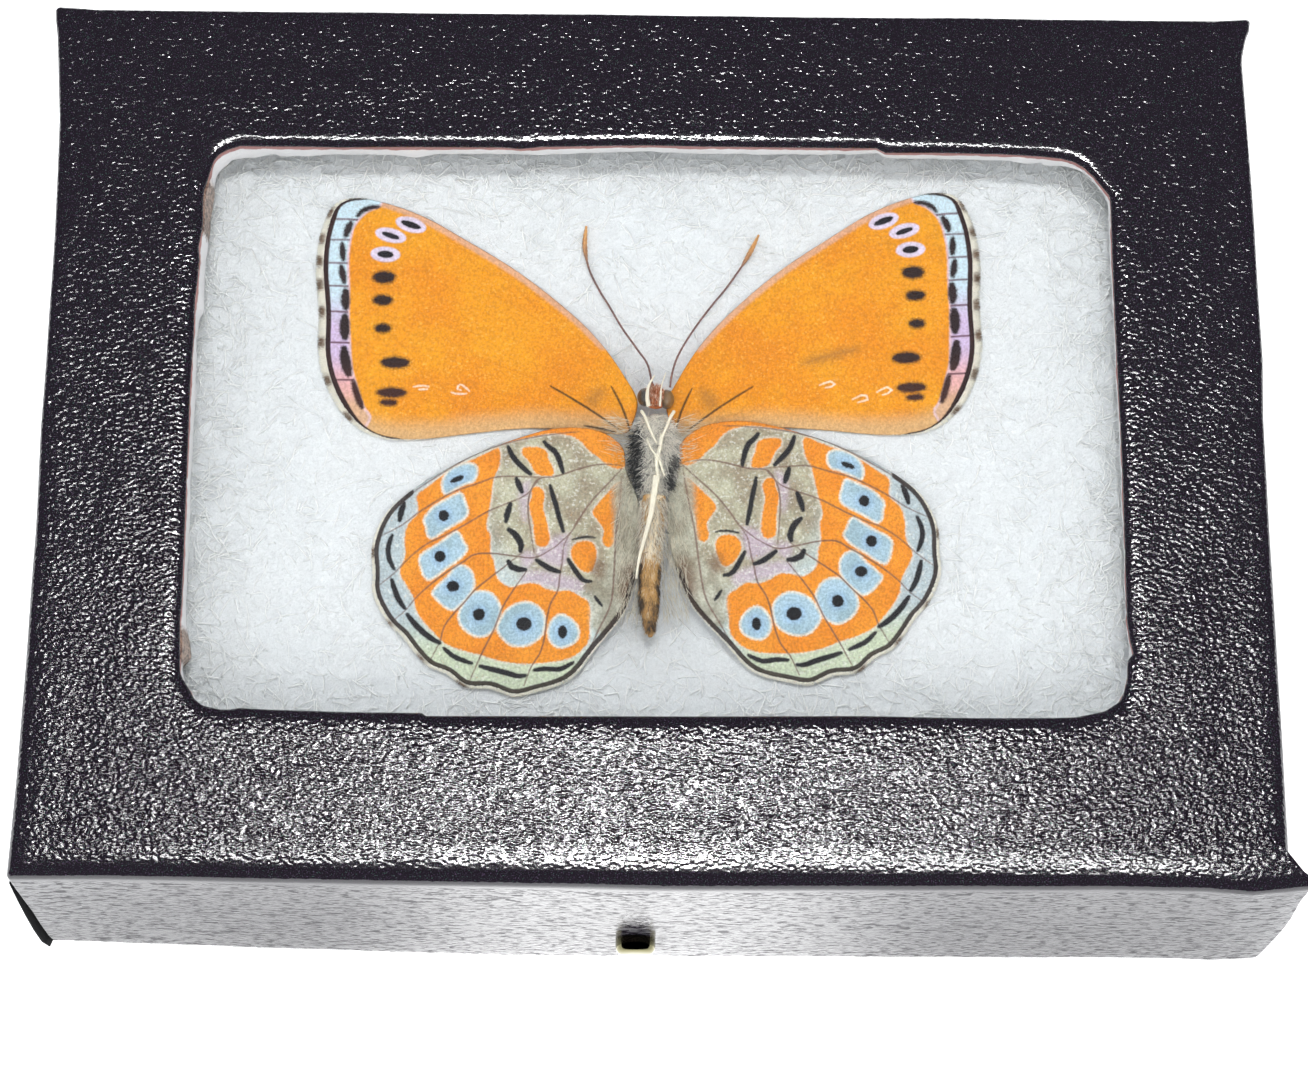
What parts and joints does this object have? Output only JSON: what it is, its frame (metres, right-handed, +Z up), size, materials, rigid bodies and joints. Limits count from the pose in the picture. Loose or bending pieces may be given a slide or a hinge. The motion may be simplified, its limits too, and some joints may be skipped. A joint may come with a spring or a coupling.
{
  "type": "framed butterfly specimen",
  "caption": "Small glazed specimen box, paper-covered, with a spread butterfly lying underside up on batting under the glass.",
  "frame": {"origin": "middle of the box's base, on the surface that it rests on", "axes": "+X along the box's long side, +Y towards the butterfly's head, +Z up through the glass"},
  "size_m": [0.0872, 0.0668, 0.019],
  "materials": {
    "black_paper": "semi-gloss embossed grain",
    "board": "raw cut board",
    "glass": "clear, polished",
    "tray_paper": "board covered in matt black paper",
    "batting": "loose white fibre",
    "pin_steel": "nickel-plated",
    "wing_orange": "matt wing scales",
    "wing_grey": "matt wing scales",
    "body_fur": "dried, furred",
    "abdomen_scales": "dried, scaled",
    "head_scales": "dried, glossy eyes",
    "antenna": "satin",
    "leg_scales": "matt scales"
  },
  "bodies": {
    "root": {"lid_paper": "black_paper", "lid_board": "board", "glass_pane": "glass", "tray": "tray_paper", "batting": "batting", "pin_front": "pin_steel", "pin_back": "pin_steel", "forewing_left": "wing_orange", "forewing_right": "wing_orange", "hindwing_left": "wing_grey", "hindwing_right": "wing_grey", "thorax": "body_fur", "abdomen": "abdomen_scales", "head": "head_scales", "antenna_left": "antenna", "antenna_right": "antenna", "palp_left": "leg_scales", "palp_right": "leg_scales", "leg_mid_left": "leg_scales", "leg_mid_right": "leg_scales", "leg_hind": "leg_scales"}
  },
  "joints": []
}
